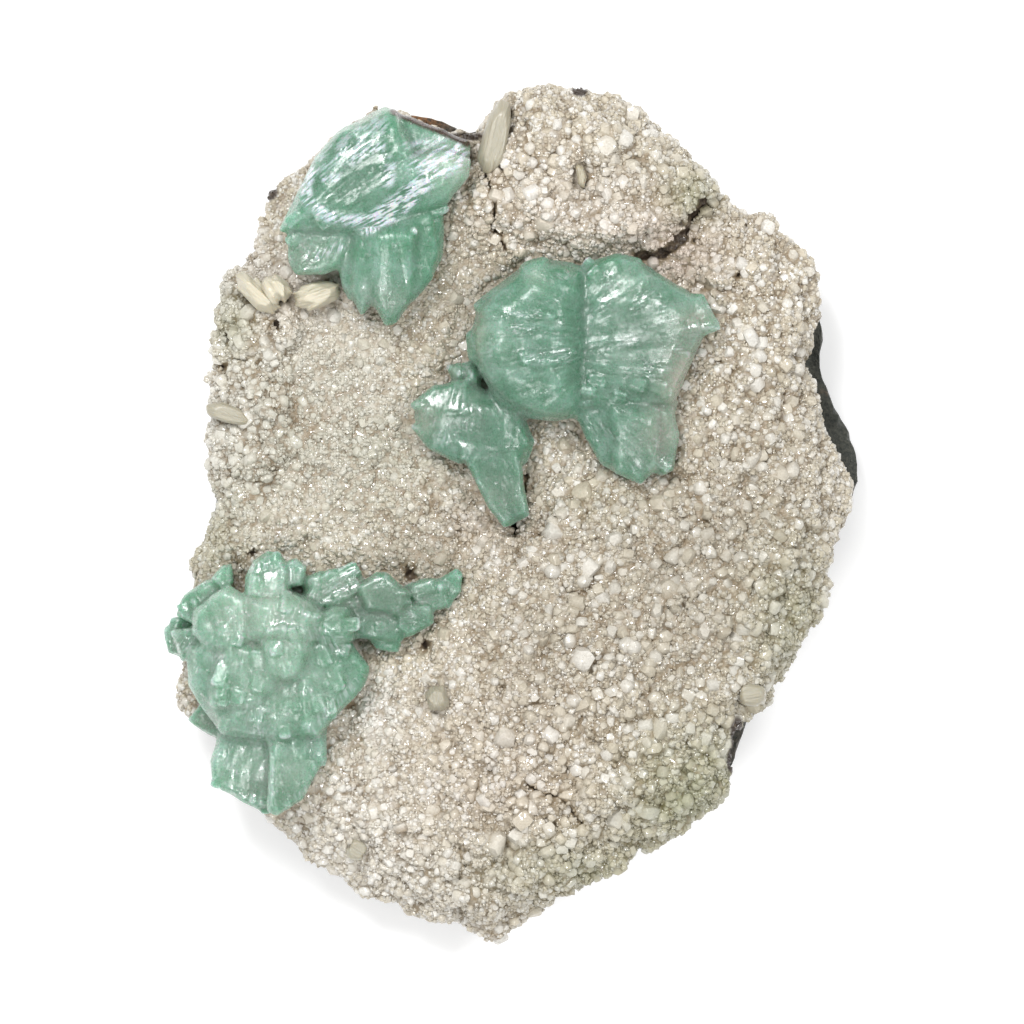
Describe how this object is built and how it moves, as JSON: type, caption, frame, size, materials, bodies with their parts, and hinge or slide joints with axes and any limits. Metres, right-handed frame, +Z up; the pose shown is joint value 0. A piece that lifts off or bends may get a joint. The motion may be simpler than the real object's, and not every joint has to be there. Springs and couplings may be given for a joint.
{
  "type": "apophyllite cluster",
  "caption": "Mineral specimen: sheaves and blocky crystals of green apophyllite with cream stilbite blades on a sugary cream heulandite crust over a slab of basalt.",
  "frame": {"origin": "middle of the specimen's outline, on the surface that its basalt back rests on", "axes": "+X to the right and +Y to the top of the specimen as it is looked at from above, +Z up out of the crystal-bearing face"},
  "size_m": [0.1392, 0.17, 0.0487],
  "materials": {
    "basalt": "rough broken grey-green basalt with rust stains",
    "heulandite": "sugary druse of small pearly cream to pinkish crystals",
    "apophyllite": "glassy, translucent mint green, cloudy inside, with finely stepped faces",
    "stilbite": "pearly cream blades with fine lengthwise striations"
  },
  "bodies": {
    "root": {"basalt_matrix": "basalt", "heulandite_crust": "heulandite", "apophyllite_upper_left": "apophyllite", "apophyllite_centre": "apophyllite", "apophyllite_lower_left": "apophyllite", "stilbite_blade_top": "stilbite", "stilbite_leaf_top": "stilbite", "stilbite_sheaf_left_long": "stilbite", "stilbite_sheaf_left_short": "stilbite", "stilbite_sheaf_left_round": "stilbite", "stilbite_blade_left": "stilbite", "stilbite_blade_right": "stilbite", "stilbite_sheaf_low": "stilbite", "stilbite_blade_bottom": "stilbite"}
  },
  "joints": []
}
